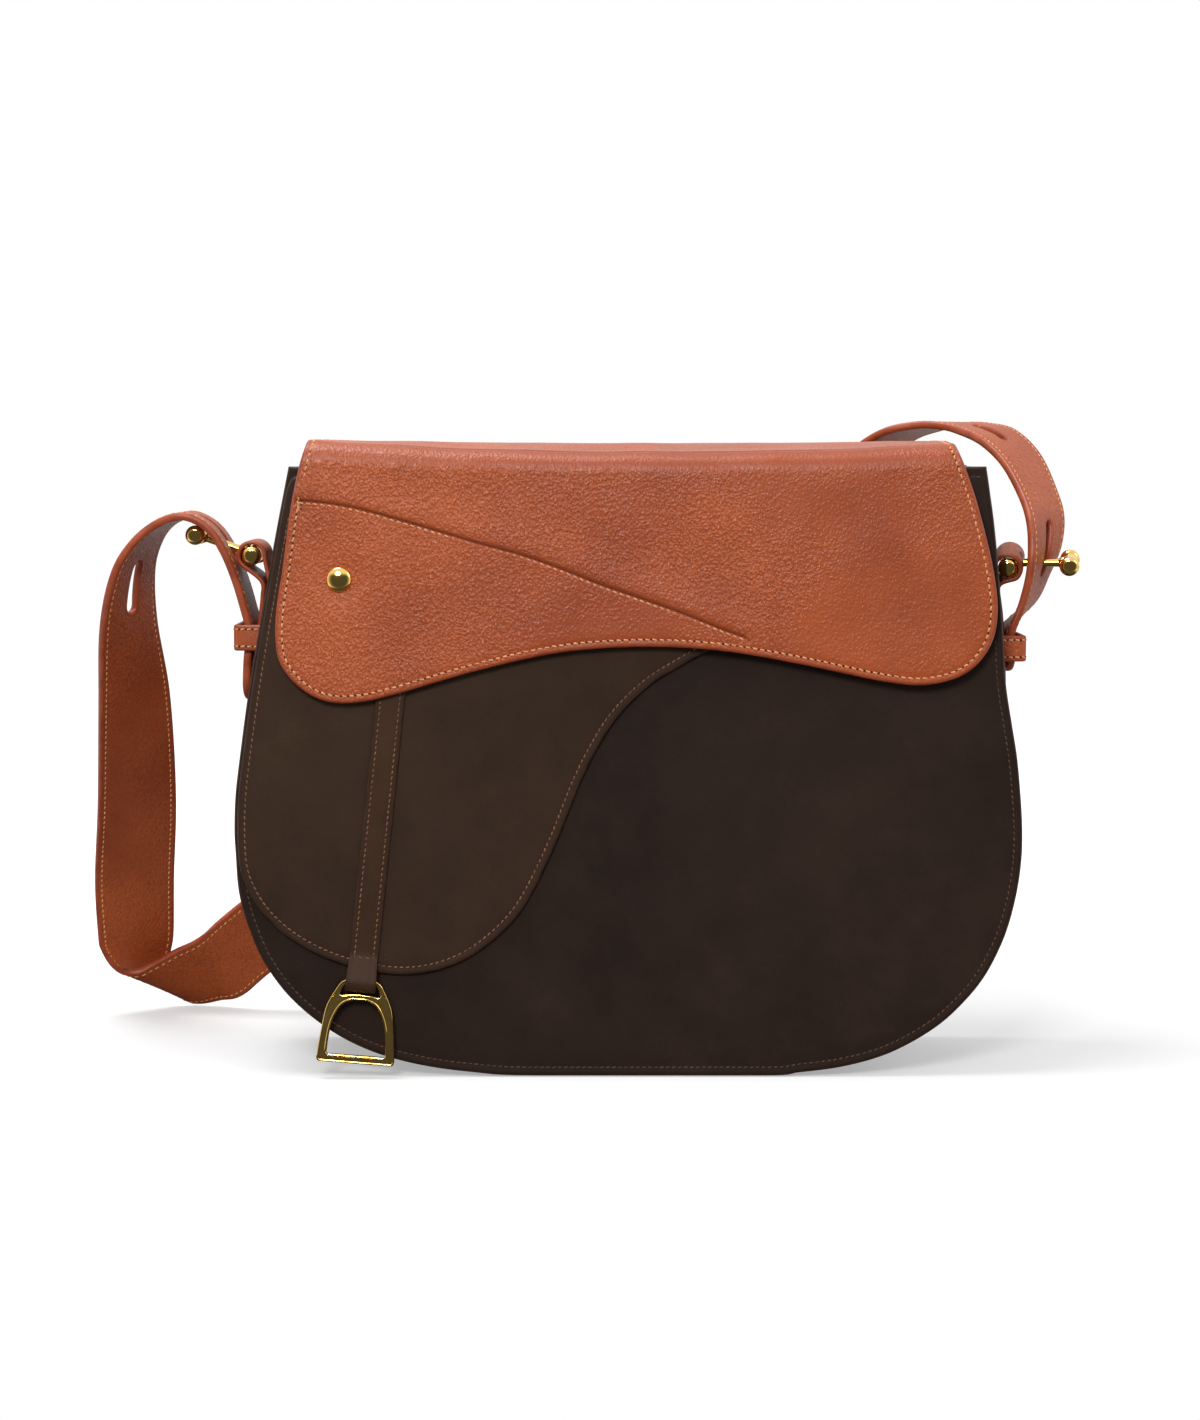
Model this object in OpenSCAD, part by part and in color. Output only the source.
// Saddle handbag: a U-shaped body with a flap, a saddle overlay that carries a stirrup, and a shoulder strap
// that hooks onto a toggle at each side. X runs to the right, Y to the back, Z up. The origin lies on the
// ground, under the middle of the base.

/* [Body] */
// Greatest width of the body
body_w = 300; // [260:5:340]
// Height of the panels, from the base to the mouth
body_h = 232; // [205:1:260]
// Depth of the body at its base
base_d = 84; // [74:1:100]
// Depth of the body at its mouth
mouth_d = 68; // [58:1:84]
// Thickness of the front and back panels
panel_t = 2.6; // [1.8:0.1:3.6]
// Thickness of the gusset
gusset_t = 2.2; // [1.4:0.1:3.2]
// Thickness of the lining
lining_t = 1; // [0.6:0.1:1.6]

/* [Flap] */
// Height of the closed flap's top above the panels
flap_rise = 10; // [7:0.5:16]
// Height of the flap's front, from its top to its lowest edge
flap_drop = 99; // [85:1:115]
// Height of the flap's back, which is sewn to the back panel
flap_back_drop = 72; // [50:1:110]
// Thickness of the flap's leather
flap_t = 1.7; // [1.2:0.1:2.4]
// Thickness of the flap's lining
flap_lining_t = 1.3; // [1:0.1:1.8]
// Outer radius of the fold at the front
front_fold_r = 9; // [7:0.5:12]
// Outer radius of the fold at the back
back_fold_r = 6; // [5:0.5:9]

/* [Saddle overlay] */
// Thickness of the overlay
skirt_t = 2; // [1.4:0.1:3]
// Width of the strap that carries the stirrup
hanger_w = 11; // [9:0.5:12]
// Thickness of that strap
hanger_t = 1.6; // [1.2:0.1:2]
// Lean of that strap in the plane of the front
hanger_tilt = 6; // [0:1:10]

/* [Stirrup] */
// Width of the stirrup at its foot
stirrup_w = 29.7; // [27:0.1:34]
// Height of the stirrup
stirrup_h = 32; // [30:0.5:36]
// Thickness of the stirrup
stirrup_t = 2.8; // [2:0.1:3]
// Height of the rim that the strap's loop goes round
rim_h = 2; // [1.4:0.1:2.2]
// Lean of the stirrup in the plane of the front
stirrup_tilt = 4.6; // [0:0.2:10]

/* [Toggles] */
// Distance between the toggle's two bars
toggle_reach = 23.5; // [22:0.5:27]
// Length of the bar inside the tab
inner_bar_l = 27; // [26:0.5:32]
// Length of the bar outside the strap
outer_bar_l = 19; // [16:0.5:22]
// Diameter of the bars between their knobs
bar_d = 6; // [4:0.2:6.6]
// Diameter of the knobs
knob_d = 7.6; // [6.8:0.2:8]
// Length of a knob
knob_l = 4.6; // [3:0.2:6]
// Diameter of the post that joins the bars
post_d = 3.2; // [2.4:0.1:3.8]

/* [Tabs and keepers] */
// Width of a tab
tab_w = 25; // [20:1:26]
// Thickness of a tab's leather
tab_t = 1.6; // [1.2:0.1:1.8]
// Radius of the loop inside a tab
tab_bore_r = 4.3; // [4.2:0.1:5]
// Height of a keeper
keeper_h = 10; // [7:0.5:12]
// Thickness of a keeper
keeper_t = 1.6; // [1.2:0.1:2]
// How far a keeper stands out from the gusset
keeper_reach = 10.8; // [10:0.2:14]

/* [Strap] */
// Width of the strap
strap_w = 34; // [28:1:36]
// Thickness of the strap's leather
strap_t = 1.6; // [1.2:0.1:1.8]
// Thickness of the strap's lining
strap_lining_t = 1.4; // [1:0.1:1.6]
// Length of a slot in the strap
slot_l = 22; // [20:0.5:26]
// Width of a slot in the strap
slot_w = 5.9; // [5:0.1:6.4]

/* [Fittings] */
// Diameter of the stud on the flap
stud_d = 9.5; // [8:0.5:12]
// Height of the stud's dome
stud_h = 2.2; // [1.5:0.1:3]
// Diameter of the magnetic clasp
clasp_d = 18; // [14:1:20]
// Thickness of the clasp's disc on the front panel
clasp_base_t = 1.6; // [1:0.1:2]
// Diameter of the rivets' shanks
shank_d = 3; // [2:0.2:4]
// Diameter of the rivets' washers
washer_d = 10; // [8:0.5:12]
// Thickness of the rivets' washers
washer_t = 0.6; // [0.4:0.1:0.8]

/* [Inside] */
// Thickness of the board in the base
board_t = 1.6; // [1:0.1:3]
// Width of the slip pocket
pocket_w = 170; // [120:5:190]
// Height of the slip pocket
pocket_h = 105; // [80:5:125]
// Height of the slip pocket's foot above the base
pocket_z = 82; // [70:2:95]
// Thickness of the slip pocket
pocket_t = 1.2; // [0.8:0.1:2]

/* [Hidden] */
$fn = 48;

// Clearances
flap_clear = 0.4;
clasp_clear = 0.3;
fold_slit = 0.3;
loop_clear = 0.2;
strap_clear = 0.5;
shank_clear = 0.1;
board_clear = 0.3;
keeper_side_clear = 0.8;
post_clear = 0.5;
split_slit = 0.3;
overrun = 10;

// The panels lean in towards the mouth
lean = (base_d - mouth_d) / 2 / body_h;
lean_angle = atan(lean);
function face_y(z) = lean * z - base_d / 2;

// Curves
curve_steps = 3;
fold_steps = 6;
function between_four(a, b, c, d, t) =
    (2 * b + (c - a) * t + (2 * a - 5 * b + 4 * c - d) * t * t + (3 * b - a - 3 * c + d) * t * t * t) / 2;
function beyond(p, q) = 2 * p - q;
function reversed(list) = [for (i = [len(list) - 1:-1:0]) list[i]];
function smooth_through(before, points, after, steps) =
    let (run = concat([before], points, [after]), last = len(points) - 1)
    concat([for (i = [0:last - 1]) for (j = [0:steps - 1])
        between_four(run[i], run[i + 1], run[i + 2], run[i + 3], j / steps)], [points[last]]);
function smooth_open(points, steps = curve_steps) =
    let (last = len(points) - 1)
    smooth_through(beyond(points[0], points[1]), points, beyond(points[last], points[last - 1]), steps);
function side_of(a, b) = let (t = b - a) [-t[1], t[0]] / norm(t);
function beside(run, distance) =
    let (last = len(run) - 1)
    [for (i = [0:last]) run[i] + distance * side_of(run[max(i - 1, 0)], run[min(i + 1, last)])];
function scaled(shares, size) = [for (p = shares) [p[0] * size[0], p[1] * size[1]]];
function arc(centre, r, from, to) =
    [for (i = [0:fold_steps]) let (a = from + (to - from) * i / fold_steps) centre + r * [cos(a), sin(a)]];

// The body's outline, as shares of half its width and of its height
left_side_shares = [[-0.858, 1], [-0.892, 0.888], [-0.926, 0.767], [-0.961, 0.638], [-0.986, 0.522],
    [-0.997, 0.461], [-1, 0.405], [-0.997, 0.365], [-0.99, 0.305], [-0.968, 0.25], [-0.925, 0.186],
    [-0.857, 0.127], [-0.759, 0.075], [-0.657, 0.041], [-0.54, 0.019], [-0.403, 0.006], [-0.227, 0]];
right_side_shares = [[0.333, 0], [0.433, 0.005], [0.54, 0.014], [0.64, 0.031], [0.721, 0.055],
    [0.797, 0.087], [0.86, 0.126], [0.908, 0.166], [0.947, 0.215], [0.971, 0.259], [0.989, 0.31],
    [0.998, 0.355], [1, 0.395], [0.997, 0.444], [0.986, 0.522], [0.971, 0.582], [0.955, 0.651],
    [0.946, 0.75], [0.927, 0.888], [0.912, 0.961], [0.903, 1]];
body_size = [body_w / 2, body_h];
left_points = scaled(left_side_shares, body_size);
right_points = scaled(right_side_shares, body_size);
left_foot = left_points[len(left_points) - 1];
right_foot = right_points[0];
left_run = smooth_through(beyond(left_points[0], left_points[1]), left_points,
    [right_foot[0], left_points[len(left_points) - 2][1]], curve_steps);
right_run = smooth_through([left_foot[0], right_points[1][1]], right_points,
    beyond(right_points[len(right_points) - 1], right_points[len(right_points) - 2]), curve_steps);
body_run = concat(left_run, right_run);
function left_x(z) = lookup(z, [for (p = left_run) [p[1], p[0]]]);
function right_x(z) = lookup(z, [for (p = right_run) [p[1], p[0]]]);

// What is drawn in the front view, as X and Z, is extruded along Y
module along_y(depth) {
    translate([0, depth / 2, 0]) rotate([90, 0, 0]) linear_extrude(depth) children();
}

// What is drawn in the side view, as Y and Z, is extruded along X
module along_x(length) {
    translate([-length / 2, 0, 0]) rotate([90, 0, 90]) linear_extrude(length) children();
}

// A sheet with the outline of its children, between two depths behind the body's front face
module on_front(near, far) {
    intersection() {
        along_y(2 * base_d) children();
        along_x(2 * body_w) polygon([for (p = [[near, -body_h], [far, -body_h], [far, 2 * body_h],
            [near, 2 * body_h]]) [face_y(p[1]) + p[0], p[1]]]);
    }
}

module on_back(near, far) {
    mirror([0, 1, 0]) on_front(near, far) children();
}

// A strip with the section of its children, from the front panel to the back panel
module across_body(depth) {
    intersection() {
        along_y(2 * base_d) children();
        along_x(2 * body_w) polygon([[face_y(-body_h) + depth, -body_h], [-face_y(-body_h) - depth, -body_h],
            [-face_y(2 * body_h) - depth, 2 * body_h], [face_y(2 * body_h) + depth, 2 * body_h]]);
    }
}

// Places a fitting square on the front, at a point of the front view and a depth behind the front face
module at_front(place, depth) {
    translate([place[0], face_y(place[1]), place[1]]) rotate([-lean_angle, 0, 0])
        translate([0, depth * cos(lean_angle), 0]) children();
}

// A disc or shank that stands out of the front, from one depth to another
module disc_at(place, near, far, d) {
    at_front(place, near) rotate([-90, 0, 0]) cylinder(d = d, h = (far - near) * cos(lean_angle));
}

// Flap sizes
flap_z = body_h + flap_rise;
flap_all_t = flap_t + flap_lining_t;
flap_gap = skirt_t + hanger_t + flap_clear;
flap_out = flap_gap + flap_all_t / cos(lean_angle);
leather_back = -flap_out + flap_t / cos(lean_angle);
front_fold = [face_y(flap_z - front_fold_r) - flap_out + front_fold_r / cos(lean_angle),
    flap_z - front_fold_r];
back_fold = [-face_y(flap_z - back_fold_r) + (flap_t - back_fold_r) / cos(lean_angle),
    flap_z - back_fold_r];
front_end = 180 - lean_angle;
front_split = (90 + front_end) / 2;
back_split = (90 + lean_angle) / 2;
front_slit = asin(fold_slit / 2 / front_fold_r);
back_slit = asin(fold_slit / 2 / back_fold_r);
flap_low = flap_z - 2 * flap_drop;

// The flap's outlines, as shares of half the body's width and of the flap's drops
flap_edge_shares = [[-0.81, 0], [-0.829, 0.11], [-0.849, 0.258], [-0.87, 0.485], [-0.886, 0.64],
    [-0.889, 0.758], [-0.877, 0.852], [-0.829, 0.942], [-0.76, 0.995], [-0.676, 0.997], [-0.575, 0.962],
    [-0.373, 0.874], [-0.173, 0.808], [0.029, 0.786], [0.23, 0.801], [0.431, 0.852], [0.633, 0.916],
    [0.747, 0.932], [0.847, 0.89], [0.908, 0.79], [0.928, 0.66], [0.916, 0.485], [0.879, 0.258],
    [0.848, 0.11], [0.823, 0]];
flap_back_shares = [[-0.81, 0], [-0.818, 0.5], [-0.81, 0.86], [-0.78, 0.97], [-0.72, 1], [0.735, 1],
    [0.795, 0.97], [0.825, 0.86], [0.832, 0.5], [0.823, 0]];
function flap_outline(shares, drop) =
    let (run = smooth_open([for (p = shares) [p[0] * body_w / 2, flap_z - p[1] * drop]]))
    concat([[run[0][0], flap_z + overrun]], run, [[run[len(run) - 1][0], flap_z + overrun]]);

module flap_piece(section, edges) {
    intersection() {
        along_x(2 * body_w) polygon(section);
        along_y(4 * base_d) polygon(edges);
    }
}

// Sections of the flap between two depths under its outer face
function hanging_section(outer, inner) = concat(
    arc(front_fold, front_fold_r - outer, front_split + front_slit, front_end),
    [for (depth = [outer, inner]) [face_y(flap_low) - flap_out + depth / cos(lean_angle), flap_low]],
    arc(front_fold, front_fold_r - inner, front_end, front_split + front_slit));
function top_section(outer, inner) = concat(
    arc(back_fold, back_fold_r - outer, back_split + back_slit, 90),
    arc(front_fold, front_fold_r - outer, 90, front_split - front_slit),
    arc(front_fold, front_fold_r - inner, front_split - front_slit, 90),
    arc(back_fold, back_fold_r - inner, 90, back_split + back_slit));
function back_section() = concat(
    [[-face_y(flap_low) + flap_t / cos(lean_angle), flap_low]],
    arc(back_fold, back_fold_r, lean_angle, back_split - back_slit),
    arc(back_fold, back_fold_r - flap_t, back_split - back_slit, lean_angle),
    [[-face_y(flap_low), flap_low]]);

// Places of the fittings, as shares of half the body's width and of the flap's drop
stud_place_shares = [-0.728, 0.532];
clasp_place_shares = [0.029, 0.434];
function flap_place(shares) = [shares[0] * body_w / 2, flap_z - shares[1] * flap_drop];
stud_place = flap_place(stud_place_shares);
clasp_place = flap_place(clasp_place_shares);

module front_panel() {
    color([0.16, 0.11, 0.09]) difference() {
        on_front(0, panel_t) polygon(body_run);
        disc_at(clasp_place, -overrun, overrun, shank_d + 2 * shank_clear);
        disc_at(clasp_place, panel_t - washer_t, overrun, washer_d + 2 * shank_clear);
    }
}

module back_panel() {
    color([0.16, 0.11, 0.09]) on_back(0, panel_t) polygon(body_run);
}

module gusset() {
    color([0.13, 0.09, 0.08]) across_body(panel_t)
        polygon(concat(body_run, reversed(beside(body_run, gusset_t))));
}

module front_lining() {
    color([0.55, 0.45, 0.36]) on_front(panel_t, panel_t + lining_t) polygon(beside(body_run, gusset_t));
}

module back_lining() {
    color([0.55, 0.45, 0.36]) on_back(panel_t, panel_t + lining_t) polygon(beside(body_run, gusset_t));
}

module gusset_lining() {
    color([0.5, 0.41, 0.33]) across_body(panel_t + lining_t)
        polygon(concat(beside(body_run, gusset_t), reversed(beside(body_run, gusset_t + lining_t))));
}

module base_board() {
    color([0.35, 0.3, 0.26]) across_body(panel_t + lining_t + board_clear)
        translate([left_foot[0], gusset_t + lining_t]) square([right_foot[0] - left_foot[0], board_t]);
}

module slip_pocket() {
    color([0.5, 0.4, 0.32]) on_back(panel_t + lining_t, panel_t + lining_t + pocket_t)
        translate([-pocket_w / 2, pocket_z]) square([pocket_w, pocket_h]);
}

// The overlay's outline, as shares of half the body's width and of its height; the flap hides its top
skirt_edge_shares = [[-0.918, 0.767], [-0.952, 0.638], [-0.976, 0.53], [-0.988, 0.461], [-0.991, 0.4],
    [-0.984, 0.341], [-0.957, 0.297], [-0.917, 0.261], [-0.859, 0.228], [-0.783, 0.2], [-0.695, 0.18],
    [-0.595, 0.169], [-0.504, 0.173], [-0.415, 0.193], [-0.338, 0.228], [-0.274, 0.272], [-0.224, 0.328],
    [-0.173, 0.401], [-0.123, 0.483], [-0.072, 0.548], [-0.022, 0.596], [0.053, 0.643], [0.129, 0.674],
    [0.188, 0.695], [0.253, 0.713], [0.347, 0.733], [0.413, 0.767]];

module skirt() {
    color([0.25, 0.17, 0.11]) on_front(-skirt_t, 0) polygon(smooth_open(scaled(skirt_edge_shares, body_size)));
}

// The strap that carries the stirrup: flat on the overlay, then a loop round the stirrup's rim
rim_place_shares = [-0.677, 0.157];
hanger_top_share = 0.74;
rim_place = [rim_place_shares[0] * body_w / 2, rim_place_shares[1] * body_h];
hanger_l = (hanger_top_share * body_h - rim_place[1]) / cos(hanger_tilt);
loop_play = 0.4;
loop_bore_r = norm([rim_h, stirrup_t]) / 2 + loop_play;
rim_depth = -(loop_bore_r + hanger_t + loop_clear);

module at_rim(tilt) {
    at_front(rim_place, rim_depth) rotate([0, tilt, 0]) children();
}

module stirrup_strap() {
    color([0.27, 0.19, 0.13]) difference() {
        union() {
            on_front(-skirt_t - hanger_t, -skirt_t) translate(rim_place) rotate(-hanger_tilt)
                translate([-hanger_w / 2, 0]) square([hanger_w, hanger_l]);
            at_rim(hanger_tilt) rotate([0, 90, 0])
                cylinder(r = loop_bore_r + hanger_t, h = hanger_w, center = true);
        }
        at_rim(hanger_tilt) rotate([0, 90, 0]) cylinder(r = loop_bore_r, h = 2 * hanger_w, center = true);
    }
}

// The stirrup's outlines, as shares of half its width and of its height, counted down from its top
stirrup_side_shares = [[0.384, 0], [0.519, 0.044], [0.626, 0.125], [0.761, 0.244], [0.862, 0.381],
    [0.936, 0.64], [0.976, 0.813], [1, 0.956]];
stirrup_toe_shares = [[0.98, 0.99], [0.923, 1]];
window_side_shares = [[0.189, 0.244], [0.418, 0.3], [0.572, 0.406], [0.677, 0.544], [0.731, 0.716],
    [0.754, 0.903]];
slot_side_shares = [[0.471, 0.113], [0.525, 0.188], [0.438, 0.194], [0.269, 0.176]];
slot_foot_share = 0.169;
function stirrup_point(p) = [p[0] * stirrup_w / 2, rim_h / 2 - p[1] * stirrup_h];
function stirrup_points(shares) = [for (p = shares) stirrup_point(p)];
function both_sides(run) = concat(run, [for (p = reversed(run)) [-p[0], p[1]]]);

module stirrup() {
    shoulder = stirrup_side_shares[0][0];
    outer = concat(smooth_open(stirrup_points(stirrup_side_shares)), stirrup_points(stirrup_toe_shares));
    window = smooth_open(stirrup_points(window_side_shares));
    slot = concat([[shoulder * stirrup_w / 2, -rim_h / 2]], stirrup_points(slot_side_shares),
        [stirrup_point([0, slot_foot_share])]);
    color([0.83, 0.62, 0.2]) at_rim(stirrup_tilt) along_y(stirrup_t) difference() {
        polygon(both_sides(outer));
        polygon(both_sides(window));
        polygon(both_sides(slot));
    }
}

module flap_back() {
    color([0.62, 0.27, 0.13]) flap_piece(back_section(), flap_outline(flap_back_shares, flap_back_drop));
}

module flap_top() {
    color([0.62, 0.27, 0.13]) flap_piece(top_section(0, flap_t), flap_outline(flap_edge_shares, flap_drop));
}

module flap_top_lining() {
    color([0.5, 0.41, 0.33])
        flap_piece(top_section(flap_t, flap_all_t), flap_outline(flap_edge_shares, flap_drop));
}

module flap_front() {
    color([0.62, 0.27, 0.13]) difference() {
        flap_piece(hanging_section(0, flap_t), flap_outline(flap_edge_shares, flap_drop));
        disc_at(stud_place, -flap_out - overrun, 0, shank_d + 2 * shank_clear);
    }
}

module flap_front_lining() {
    color([0.5, 0.41, 0.33]) difference() {
        flap_piece(hanging_section(flap_t, flap_all_t), flap_outline(flap_edge_shares, flap_drop));
        for (place = [stud_place, clasp_place])
            disc_at(place, -flap_out, leather_back + washer_t, washer_d + 2 * shank_clear);
        disc_at(clasp_place, -flap_out, 0, shank_d + 2 * shank_clear);
    }
}

// A domed stud: its shank goes through the flap's leather into a washer under it
module flap_stud() {
    dome_r = (stud_d * stud_d / 4 + stud_h * stud_h) / 2 / stud_h;
    color([0.83, 0.62, 0.2]) {
        at_front(stud_place, -flap_out) rotate([90, 0, 0]) intersection() {
            translate([0, 0, stud_h - dome_r]) sphere(r = dome_r);
            cylinder(d = stud_d, h = stud_h);
        }
        disc_at(stud_place, -flap_out, leather_back + washer_t, shank_d);
    }
}

module washer_at(place, near) {
    difference() {
        disc_at(place, near, near + washer_t, washer_d);
        disc_at(place, near - overrun, near + overrun, shank_d + 2 * shank_clear);
    }
}

module stud_washer() {
    color([0.83, 0.62, 0.2]) washer_at(stud_place, leather_back);
}

module clasp_base() {
    color([0.8, 0.66, 0.36]) {
        disc_at(clasp_place, -clasp_base_t, 0, clasp_d);
        disc_at(clasp_place, -clasp_base_t, panel_t, shank_d);
    }
}

module clasp_base_washer() {
    color([0.8, 0.66, 0.36]) washer_at(clasp_place, panel_t - washer_t);
}

module clasp_plate() {
    color([0.8, 0.66, 0.36]) {
        disc_at(clasp_place, -flap_gap, -clasp_base_t - clasp_clear, clasp_d);
        disc_at(clasp_place, leather_back, -flap_gap, shank_d);
    }
}

module clasp_plate_washer() {
    color([0.8, 0.66, 0.36]) washer_at(clasp_place, leather_back);
}

// Toggles: a bar inside the tab's loop, a post through the strap's slot and a bar outside it
left_pivot_shares = [-0.969, 0.851];
right_pivot_shares = [0.99, 0.838];
left_pivot = [left_pivot_shares[0] * body_w / 2, 0, left_pivot_shares[1] * body_h];
right_pivot = [right_pivot_shares[0] * body_w / 2, 0, right_pivot_shares[1] * body_h];
left_turn = [0, 199.3, 0];
right_turn = [9, 0, -9];
knob_edge_share = 0.3;
knob_fn = 32;

// A bar along Y with a rounded knob at each end
module toggle_bar(length) {
    edge = knob_edge_share * knob_d / 2;
    bar_r = bar_d / 2;
    knob_r = knob_d / 2;
    knob_end = length / 2 - edge;
    knob_start = length / 2 - knob_l;
    side = concat([[0, -length / 2]],
        [for (i = [0:4]) let (a = -90 + 90 * i / 4) [knob_r - edge + edge * cos(a), -knob_end + edge * sin(a)]],
        [[knob_r, -knob_start], [bar_r, -knob_start], [bar_r, knob_start], [knob_r, knob_start]],
        [for (i = [0:4]) let (a = 90 * i / 4) [knob_r - edge + edge * cos(a), knob_end + edge * sin(a)]],
        [[0, length / 2]]);
    rotate([90, 0, 0]) rotate_extrude() polygon(side);
}

module toggle() {
    color([0.83, 0.62, 0.2]) {
        toggle_bar(inner_bar_l);
        rotate([0, 90, 0]) cylinder(d = post_d, h = toggle_reach);
        translate([toggle_reach, 0, 0]) toggle_bar(outer_bar_l);
    }
}

module toggle_left() {
    translate(left_pivot) rotate(left_turn) toggle();
}

module toggle_right() {
    translate(right_pivot) rotate(right_turn) toggle();
}

// Tabs: a strip folded round the toggle's bar, with both ends sewn to the gusset
toggle_tilt = 14;
tab_loop_r = tab_bore_r + tab_t;
tab_neck_z_share = 0.807;
tab_foot_z_share = 0.647;
slit_angle = toggle_tilt + asin(post_d / 2 / tab_bore_r) + asin(post_clear / tab_bore_r);
function tangent_point(centre, r, p, turn) =
    let (d = p - centre, a = atan2(d[1], d[0]) + turn * acos(r / norm(d))) centre + r * [cos(a), sin(a)];

// The section of a tab's neck and loop round a centre; side is -1 at the left and 1 at the right
module tab_loop(centre, neck_x, side) {
    neck_z = tab_neck_z_share * body_h;
    inner = [neck_x, neck_z];
    outer = [neck_x + side * 2 * tab_t, neck_z];
    difference() {
        union() {
            circle(r = tab_loop_r);
            polygon([for (p = [tangent_point(centre, tab_loop_r, inner, -side), inner, outer,
                tangent_point(centre, tab_loop_r, outer, side)]) p - centre]);
        }
        circle(r = tab_bore_r);
    }
}

// The gap in the loop that the post swings in; the post points along +X
module post_gap() {
    reach = 2 * tab_loop_r;
    rotate([90, 0, 0]) translate([0, 0, -(post_d / 2 + post_clear)]) linear_extrude(post_d + 2 * post_clear)
        polygon([[0, 0], reach * [cos(slit_angle), -sin(slit_angle)], [reach, 0],
            reach * [cos(slit_angle), sin(slit_angle)]]);
}

module tab_legs(run) {
    intersection() {
        along_y(tab_w) polygon(concat(run, reversed(beside(run, -2 * tab_t))));
        translate([-body_w, -base_d, tab_foot_z_share * body_h])
            cube([2 * body_w, 2 * base_d, (tab_neck_z_share - tab_foot_z_share) * body_h]);
    }
}

module side_tab(pivot, side, neck_x, turn, run) {
    color([0.6, 0.27, 0.13]) difference() {
        union() {
            difference() {
                translate(pivot) rotate([turn[0], 0, turn[2]]) along_y(tab_w)
                    tab_loop([pivot[0], pivot[2]], neck_x, side);
                along_y(2 * base_d) polygon(body_run);
            }
            tab_legs(run);
        }
        translate(pivot) rotate(turn) {
            rotate([90, 0, 0]) cylinder(r = tab_bore_r, h = 2 * tab_w, center = true);
            post_gap();
        }
    }
}

module side_tab_left() {
    side_tab(left_pivot, -1, left_x(tab_neck_z_share * body_h), left_turn, left_run);
}

module side_tab_right() {
    side_tab(right_pivot, 1, right_x(tab_neck_z_share * body_h), right_turn, right_run);
}

// Keepers: a band round a tab's legs and the strap's tail, sewn to the gusset
left_keeper_share = 0.716;
right_keeper_share = 0.698;

module keeper(z, x, side) {
    inner_w = strap_w + 2 * keeper_side_clear;
    color([0.6, 0.27, 0.13]) difference() {
        translate([x, 0, z]) cube([2 * keeper_reach, inner_w + 2 * keeper_t, keeper_h], center = true);
        translate([x - side * keeper_t, 0, z]) cube([2 * keeper_reach, inner_w, 2 * keeper_h], center = true);
        along_y(2 * base_d) polygon(body_run);
    }
}

module keeper_left() {
    keeper(left_keeper_share * body_h, left_x(left_keeper_share * body_h), -1);
}

module keeper_right() {
    keeper(right_keeper_share * body_h, right_x(right_keeper_share * body_h), 1);
}

// The strap is a band in two layers, laid through stations. A station gives the shares of its place, then the
// direction across the strap there, from its front edge to its back edge. Each tail lies on a tab, in a keeper.
strap_steps = 3;
tail_seat = 2 * tab_t + strap_clear + strap_lining_t;
left_tail_shares = [0.677, 0.724];
left_arch_shares = [[-0.989, 0, 0.772, 0, 1, 0], [-1.009, 0, 0.815, 0, 1, 0], [-1.036, 0, 0.858, 0, 1, 0],
    [-1.068, 0, 0.891, 0, 1, 0], [-1.109, 0, 0.911, 0, 1, 0], [-1.153, 0, 0.917, 0.02, 1, 0]];
hanging_shares = [[-1.207, 0.007, 0.903, 0.07, 1, 0], [-1.253, 0.007, 0.872, 0.18, 0.98, 0],
    [-1.287, 0.01, 0.822, 0.32, 0.95, 0], [-1.307, 0.06, 0.733, 0.5, 0.86, 0],
    [-1.312, 0.18, 0.599, 0.73, 0.68, -0.02], [-1.337, 0.373, 0.412, 0.87, 0.5, -0.02],
    [-1.37, 0.533, 0.256, 0.91, 0.41, -0.01], [-1.381, 0.62, 0.146, 0.86, 0.51, -0.04],
    [-1.386, 0.647, 0.102, 0.74, 0.64, -0.21], [-1.358, 0.66, 0.0595, 0.66, 0.66, -0.34],
    [-1.313, 0.673, 0.0435, 0.61, 0.63, -0.48], [-1.269, 0.673, 0.0495, 0.58, 0.56, -0.59],
    [-1.213, 0.667, 0.0645, 0.53, 0.49, -0.69], [-1.142, 0.647, 0.084, 0.5, 0.38, -0.78],
    [-1.025, 0.613, 0.149, 0.5, 0.36, -0.78], [-0.533, 0.587, 0.397, 0.55, 0.42, -0.72],
    [0, 0.573, 0.66, 0.6, 0.45, -0.66], [0.4, 0.567, 0.845, 0.6, 0.5, -0.6]];
right_arch_shares = [[0.633, 0.52, 0.974, 0.5, 0.75, -0.45], [0.727, 0.453, 1.044, 0.39, 0.91, -0.14],
    [0.819, 0.42, 1.066, 0.39, 0.92, -0.03], [0.888, 0.387, 1.067, 0.43, 0.9, 0.01],
    [0.935, 0.347, 1.0625, 0.48, 0.88, 0.06], [0.99, 0.253, 1.047, 0.5, 0.86, 0.12],
    [1.04, 0.163, 1.009, 0.52, 0.85, 0.1], [1.073, 0.073, 0.953, 0.51, 0.86, 0.05],
    [1.085, 0.009, 0.909, 0.5, 0.87, 0.04], [1.08, -0.0165, 0.862, 0.44, 0.9, 0],
    [1.064, -0.016, 0.819, 0.34, 0.94, 0], [1.039, -0.008, 0.772, 0.26, 0.96, 0],
    [0.9875, -0.003, 0.724, 0.03, 1, 0]];
right_tail_shares = [0.694, 0.655];
strap_places = concat(
    [for (h = left_tail_shares) [left_x(h * body_h) - tail_seat, 0, h * body_h]],
    [for (s = concat(left_arch_shares, hanging_shares, right_arch_shares))
        [s[0] * body_w / 2, s[1] * body_w / 2, s[2] * body_h]],
    [for (h = right_tail_shares) [right_x(h * body_h) + tail_seat, 0, h * body_h]]);
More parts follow.
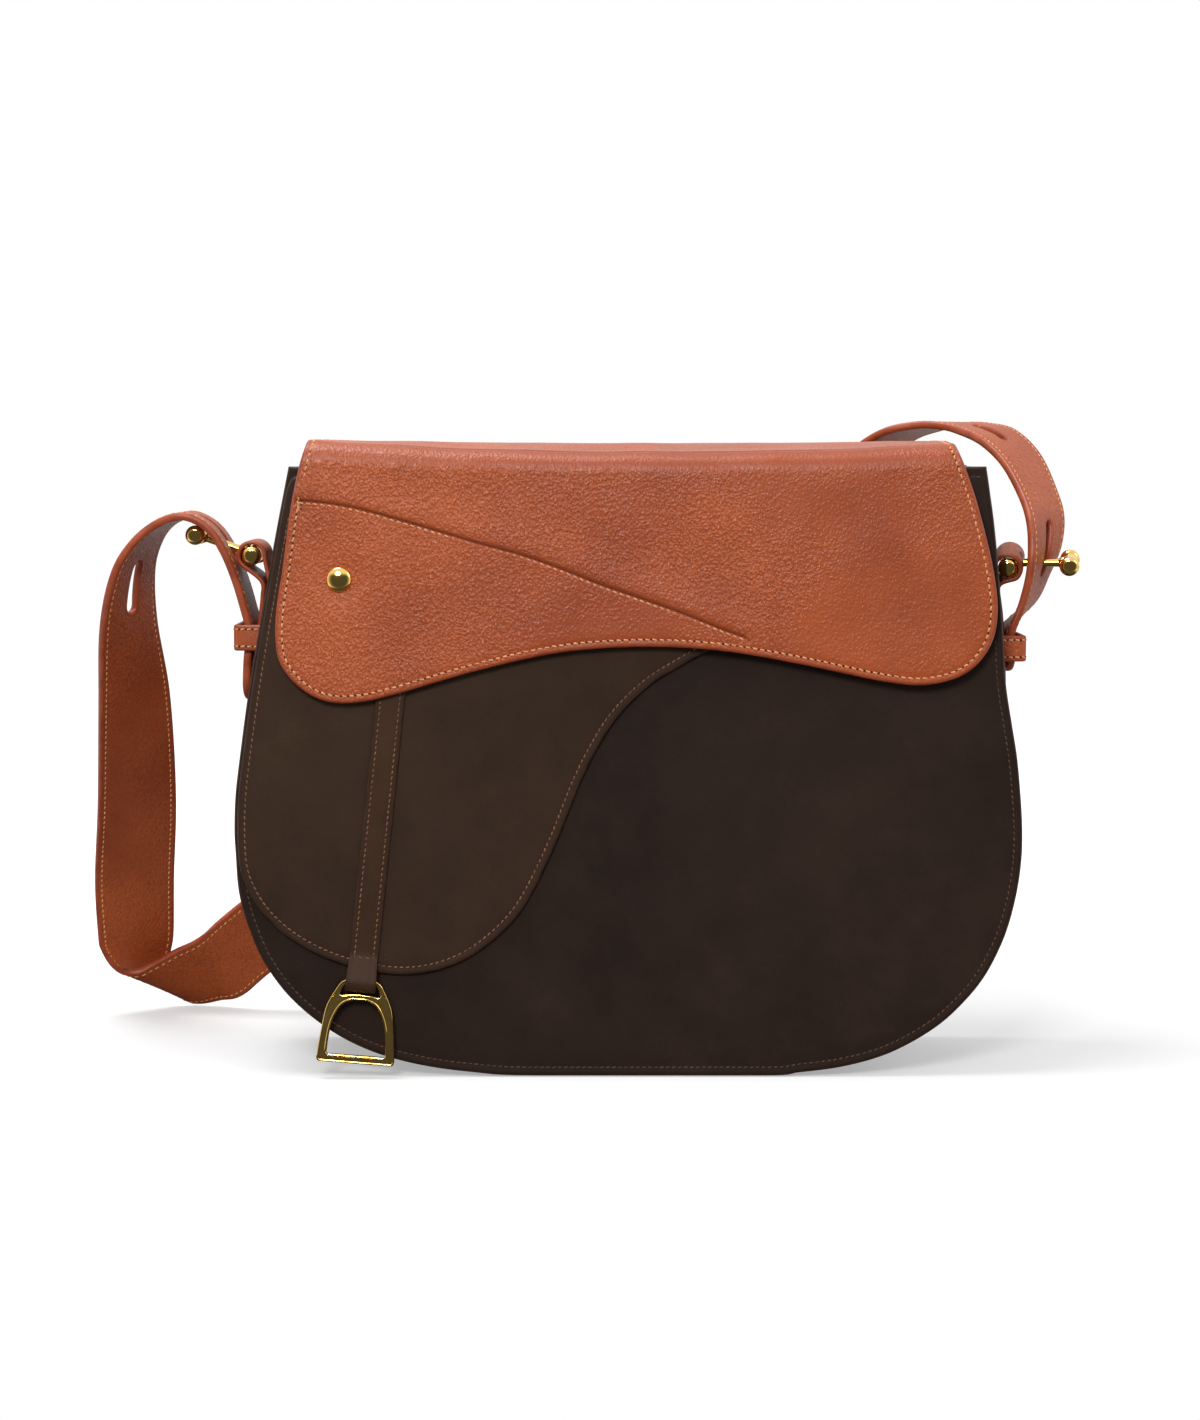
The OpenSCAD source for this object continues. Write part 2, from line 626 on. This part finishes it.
strap_directions = concat([for (h = left_tail_shares) [0, 1, 0]],
    [for (s = concat(left_arch_shares, hanging_shares, right_arch_shares)) [s[3], s[4], s[5]]],
    [for (h = right_tail_shares) [0, 1, 0]]);
strap_run = smooth_open(strap_places, strap_steps);
across_run = smooth_open(strap_directions, strap_steps);
last_ring = len(strap_run) - 1;
left_split = strap_steps * (len(left_tail_shares) + len(left_arch_shares));
right_split = left_split + strap_steps * (len(hanging_shares) - 1);
function unit(v) = v / norm(v);
function across_at(i) = unit(across_run[i]);
function outward_at(i) =
    unit(cross(strap_run[min(i + 1, last_ring)] - strap_run[max(i - 1, 0)], across_run[i]));
function strap_ring(i, low, high) =
    let (a = strap_w / 2 * across_at(i), n = outward_at(i), c = strap_run[i])
    [c - a + low * n, c + a + low * n, c + a + high * n, c - a + high * n];

// A layer of the strap between two rings, as a closed solid
module band(first, last, low, high) {
    span = last - first;
    points = [for (i = [first:last]) each strap_ring(i, low, high)];
    sides = [for (i = [0:span - 1]) for (j = [0:3])
        let (a = 4 * i + j, b = 4 * i + (j + 1) % 4, c = a + 4, d = b + 4)
        each (j == 2 ? [[a, c, b], [c, d, b]] : [[a, c, d], [a, d, b]])];
    polyhedron(points, concat([[0, 1, 2], [0, 2, 3]], sides,
        [[4 * span + 2, 4 * span + 1, 4 * span], [4 * span + 3, 4 * span + 2, 4 * span]]), convexity = 12);
}

// The strap's ends and its main length meet across the line that the main length swings about
lift_line = unit(strap_run[right_split] - strap_run[left_split]);
left_end_steps = 5;
right_end_steps = 2;

module at_split(i) {
    translate(strap_run[i]) rotate([0, -asin(lift_line[2]), atan2(lift_line[1], lift_line[0])]) children();
}

module beyond_split(i, near, reach, size) {
    at_split(i) translate([near, -size / 2, -size / 2]) cube([reach, size, size]);
}

// Slots run along the strap, and a toggle's bar goes through one of them end first
left_slot_share = 0.117;
left_spare_share = 0.258;
right_slot_share = 0.875;
right_spare_share = 0.767;

module slot_at(share) {
    i = round(share * last_ring);
    w = across_at(i);
    n = outward_at(i);
    e = cross(w, n);
    c = strap_run[i];
    multmatrix([[e[0], w[0], n[0], c[0]], [e[1], w[1], n[1], c[1]], [e[2], w[2], n[2], c[2]], [0, 0, 0, 1]]) {
        cube([slot_l - slot_w, slot_w, strap_w / 2], center = true);
        for (side = [-1, 1]) translate([side * (slot_l - slot_w) / 2, 0, 0])
            cylinder(d = slot_w, h = strap_w / 2, center = true);
    }
}

module left_end_layer(low, high) {
    color([0.63, 0.29, 0.14]) difference() {
        intersection() {
            band(0, left_split + left_end_steps, low, high);
            beyond_split(left_split, split_slit / 2, body_w, 2 * body_w);
        }
        slot_at(left_slot_share);
    }
}

module main_layer(low, high) {
    color([0.63, 0.29, 0.14]) difference() {
        band(left_split - left_end_steps, right_split + right_end_steps, low, high);
        beyond_split(left_split, -split_slit / 2, 2 * strap_w, 2 * strap_w);
        beyond_split(right_split, -split_slit / 2, 3 * strap_w, 4 * strap_w);
        slot_at(left_spare_share);
    }
}

module right_end_layer(low, high) {
    color([0.63, 0.29, 0.14]) difference() {
        intersection() {
            band(right_split - right_end_steps, last_ring, low, high);
            beyond_split(right_split, split_slit / 2, body_w, 2 * body_w);
        }
        slot_at(right_slot_share);
        slot_at(right_spare_share);
    }
}

module strap_end_left() {
    left_end_layer(0, strap_t);
}

module strap_end_left_lining() {
    left_end_layer(-strap_lining_t, 0);
}

module strap_main() {
    main_layer(0, strap_t);
}

module strap_main_lining() {
    main_layer(-strap_lining_t, 0);
}

module strap_end_right() {
    right_end_layer(0, strap_t);
}

module strap_end_right_lining() {
    right_end_layer(-strap_lining_t, 0);
}

front_panel();
back_panel();
gusset();
front_lining();
back_lining();
gusset_lining();
base_board();
slip_pocket();
skirt();
stirrup_strap();
flap_back();
flap_top();
flap_top_lining();
flap_front();
flap_front_lining();
flap_stud();
stud_washer();
clasp_base();
clasp_base_washer();
clasp_plate();
clasp_plate_washer();
side_tab_left();
side_tab_right();
keeper_left();
keeper_right();
toggle_left();
toggle_right();
stirrup();
strap_end_left();
strap_end_left_lining();
strap_main();
strap_main_lining();
strap_end_right();
strap_end_right_lining();
